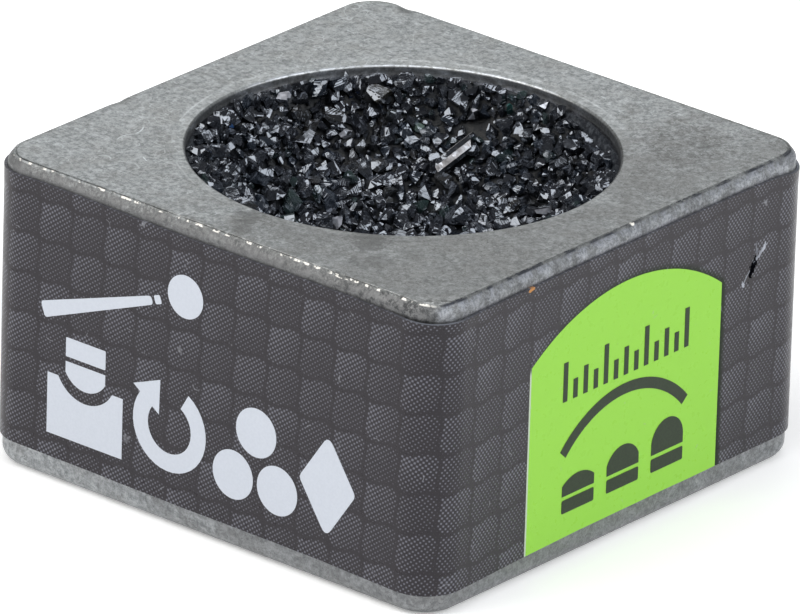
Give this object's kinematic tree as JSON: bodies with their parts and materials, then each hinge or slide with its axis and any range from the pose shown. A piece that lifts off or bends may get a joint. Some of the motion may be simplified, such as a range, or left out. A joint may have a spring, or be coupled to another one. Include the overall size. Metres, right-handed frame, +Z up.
{
  "type": "cue tip shaper and scuffer block",
  "caption": "Low square cast block with a printed wrap and a concave abrasive-lined dish in each end, for shaping and scuffing cue tips.",
  "frame": {"origin": "centre of the bottom face, on the plane the block rests on", "axes": "+Z up out of the shaper dish; +X out of the face with the coloured size panel; -Y out of the face with the large white print"},
  "size_m": [0.0224, 0.0224, 0.0127],
  "materials": {
    "cast_metal": "satin",
    "printed_film": "satin",
    "dark_resin": "gloss",
    "black_crystal": "gloss"
  },
  "bodies": {
    "root": {"block": "cast_metal", "wrap_label": "printed_film", "shaper_bond": "dark_resin", "shaper_grit": "black_crystal", "scuffer_bond": "dark_resin", "scuffer_grit": "black_crystal"}
  },
  "joints": []
}
